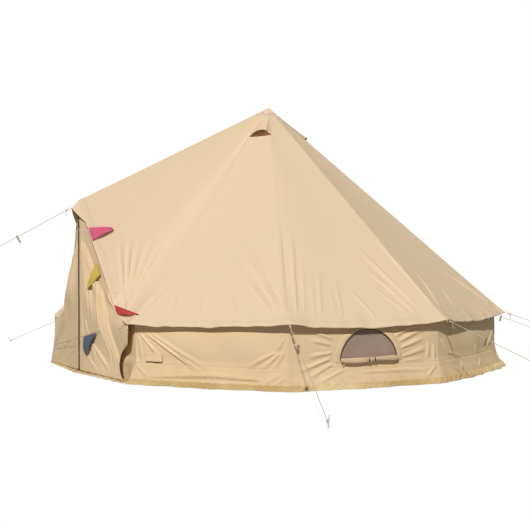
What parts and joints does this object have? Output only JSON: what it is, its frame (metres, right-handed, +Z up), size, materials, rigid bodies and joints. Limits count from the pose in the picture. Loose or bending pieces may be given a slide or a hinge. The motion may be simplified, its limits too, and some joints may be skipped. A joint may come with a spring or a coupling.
{
  "type": "bell tent",
  "caption": "Round canvas bell tent on a centre pole and door A-frame, with low wall, zipped door flaps, vents, windows, guy ropes with runners, pegs and bunting.",
  "frame": {"origin": "on the ground under the centre pole, at the groundsheet's underside", "axes": "+Z up along the centre pole; the door faces -Y; +X to the right when facing out of the back"},
  "size_m": [8.649, 9.5865, 3],
  "materials": {
    "canvas": "plain cotton canvas, matt",
    "door_canvas": "plain cotton canvas, matt",
    "canvas_trim": "doubled cotton canvas, matt",
    "skirt_canvas": "doubled cotton canvas, matt",
    "mud_flap_canvas": "coated cloth, crinkled",
    "rolled_canvas": "plain cotton canvas, matt",
    "insect_mesh": "fine woven mesh",
    "groundsheet": "woven coated sheet",
    "black_plastic": "moulded, satin",
    "pole_steel": "galvanised tube",
    "foot_rubber": "moulded rubber",
    "zip_tape": "woven tape with a plastic chain",
    "zip_metal": "die-cast, dull",
    "galvanised_steel": "galvanised wire and rod",
    "rope": "laid cotton-look rope",
    "runner_wood": "turned hardwood, waxed",
    "string": "twisted cord",
    "pennant_pink": "thin cotton",
    "pennant_yellow": "thin cotton",
    "pennant_red": "thin cotton",
    "pennant_blue": "thin cotton"
  },
  "bodies": {
    "tent": {"groundsheet": "groundsheet", "centre_pole_lower": "pole_steel", "centre_pole_upper": "pole_steel", "centre_pole_plug": "black_plastic", "a_frame_leg_left": "pole_steel", "a_frame_leg_right": "pole_steel", "a_frame_crown": "pole_steel", "pole_feet": "foot_rubber", "apex_cap": "canvas_trim", "roof_gore_1": "canvas", "roof_gore_2": "canvas", "roof_gore_3": "canvas", "roof_gore_4": "canvas", "roof_gore_5": "canvas", "roof_gore_6": "canvas", "roof_gore_7": "canvas", "roof_gore_8": "canvas", "roof_gore_9": "canvas", "roof_door_gore_left": "canvas", "roof_door_gore_right": "canvas", "vent_hoods": "canvas_trim", "insect_meshes": "insect_mesh", "wall_panel_1": "canvas", "wall_panel_2": "canvas", "wall_panel_3": "canvas", "wall_panel_4": "canvas", "wall_panel_5": "canvas", "wall_panel_6": "canvas", "wall_panel_7": "canvas", "wall_panel_8": "canvas", "wall_panel_9": "canvas", "door_return_left": "canvas", "door_return_right": "canvas", "skirt_band": "skirt_canvas", "mud_flap": "mud_flap_canvas", "window_rolls": "rolled_canvas", "door_head": "canvas", "door_hood": "canvas_trim", "eave_rings": "galvanised_steel", "guy_ropes": "rope", "guy_pegs": "galvanised_steel", "bunting_string": "string"},
    "door_flap_left": {"door_flap_left": "door_canvas"},
    "door_flap_right": {"door_flap_right": "door_canvas", "door_zip": "zip_tape"},
    "zip_slider": {"zip_slider": "zip_metal"},
    "cable_port_flap": {"cable_port_flap": "canvas_trim"},
    "pennant_pink": {"pennant_pink": "pennant_pink"},
    "pennant_yellow": {"pennant_yellow": "pennant_yellow"},
    "pennant_red": {"pennant_red": "pennant_red"},
    "pennant_blue": {"pennant_blue": "pennant_blue"},
    "guy_runner_1": {"guy_runner_1": "runner_wood"},
    "guy_runner_2": {"guy_runner_2": "runner_wood"},
    "guy_runner_3": {"guy_runner_3": "runner_wood"},
    "guy_runner_4": {"guy_runner_4": "runner_wood"},
    "guy_runner_5": {"guy_runner_5": "runner_wood"},
    "guy_runner_6": {"guy_runner_6": "runner_wood"},
    "guy_runner_7": {"guy_runner_7": "runner_wood"},
    "guy_runner_8": {"guy_runner_8": "runner_wood"},
    "guy_runner_9": {"guy_runner_9": "runner_wood"}
  },
  "joints": [
    {"name": "door_right_swing", "type": "hinge", "parent": "tent", "child": "door_flap_right", "pos_m": [1.05, -2.145, 0], "axis": [-0.5061, -0.1022, 0.8564], "range_deg": [0, 100]},
    {"name": "door_left_swing", "type": "hinge", "parent": "tent", "child": "door_flap_left", "pos_m": [-1.05, -2.145, 0], "axis": [-0.5061, 0.1022, -0.8564], "range_deg": [0, 100]},
    {"name": "zip_slide", "type": "slide", "parent": "door_flap_right", "child": "zip_slider", "axis": [0, 0, 1], "range_m": [0, 1.382]},
    {"name": "runner_1_slide", "type": "slide", "parent": "tent", "child": "guy_runner_1", "axis": [0.855, -0.4069, -0.3215], "range_m": [-0.34, 0.95]},
    {"name": "runner_2_slide", "type": "slide", "parent": "tent", "child": "guy_runner_2", "axis": [0.9437, 0.0766, -0.3219], "range_m": [-0.34, 0.95]},
    {"name": "runner_3_slide", "type": "slide", "parent": "tent", "child": "guy_runner_3", "axis": [0.738, 0.5931, -0.3219], "range_m": [-0.34, 0.95]},
    {"name": "runner_4_slide", "type": "slide", "parent": "tent", "child": "guy_runner_4", "axis": [0.2779, 0.905, -0.3219], "range_m": [-0.34, 0.95]},
    {"name": "runner_5_slide", "type": "slide", "parent": "tent", "child": "guy_runner_5", "axis": [-0.2779, 0.905, -0.3219], "range_m": [-0.34, 0.95]},
    {"name": "runner_6_slide", "type": "slide", "parent": "tent", "child": "guy_runner_6", "axis": [-0.738, 0.5931, -0.3219], "range_m": [-0.34, 0.95]},
    {"name": "runner_7_slide", "type": "slide", "parent": "tent", "child": "guy_runner_7", "axis": [-0.9437, 0.0766, -0.3219], "range_m": [-0.34, 0.95]},
    {"name": "runner_8_slide", "type": "slide", "parent": "tent", "child": "guy_runner_8", "axis": [-0.855, -0.4069, -0.3215], "range_m": [-0.34, 0.95]},
    {"name": "runner_9_slide", "type": "slide", "parent": "tent", "child": "guy_runner_9", "axis": [0, -0.8714, -0.4905], "range_m": [-0.5, 2.2]},
    {"name": "pennant_pink_swing", "type": "hinge", "parent": "tent", "child": "pennant_pink", "pos_m": [0.20594, -2.32154, 1.43049], "axis": [0.506, 0.1022, -0.8564], "range_deg": [0, 80]},
    {"name": "pennant_red_swing", "type": "hinge", "parent": "tent", "child": "pennant_red", "pos_m": [0.6977, -2.23828, 0.67122], "axis": [0.794, -0.0013, -0.6079], "range_deg": [0, 50]},
    {"name": "pennant_yellow_swing", "type": "hinge", "parent": "door_flap_right", "child": "pennant_yellow", "pos_m": [0.39231, -2.29615, 1.07509], "axis": [-0.5061, -0.1022, 0.8564], "range_deg": [0, 50]},
    {"name": "pennant_blue_swing", "type": "hinge", "parent": "door_flap_right", "child": "pennant_blue", "pos_m": [0.29864, -2.33955, 0.41404], "axis": [-0.9558, -0.193, -0.2216], "range_deg": [0, 60]},
    {"name": "port_flap_lift", "type": "hinge", "parent": "tent", "child": "cable_port_flap", "pos_m": [1.21501, -2.07545, 0.28776], "axis": [0.839, 0.5441, 0], "range_deg": [-150, 0]}
  ]
}
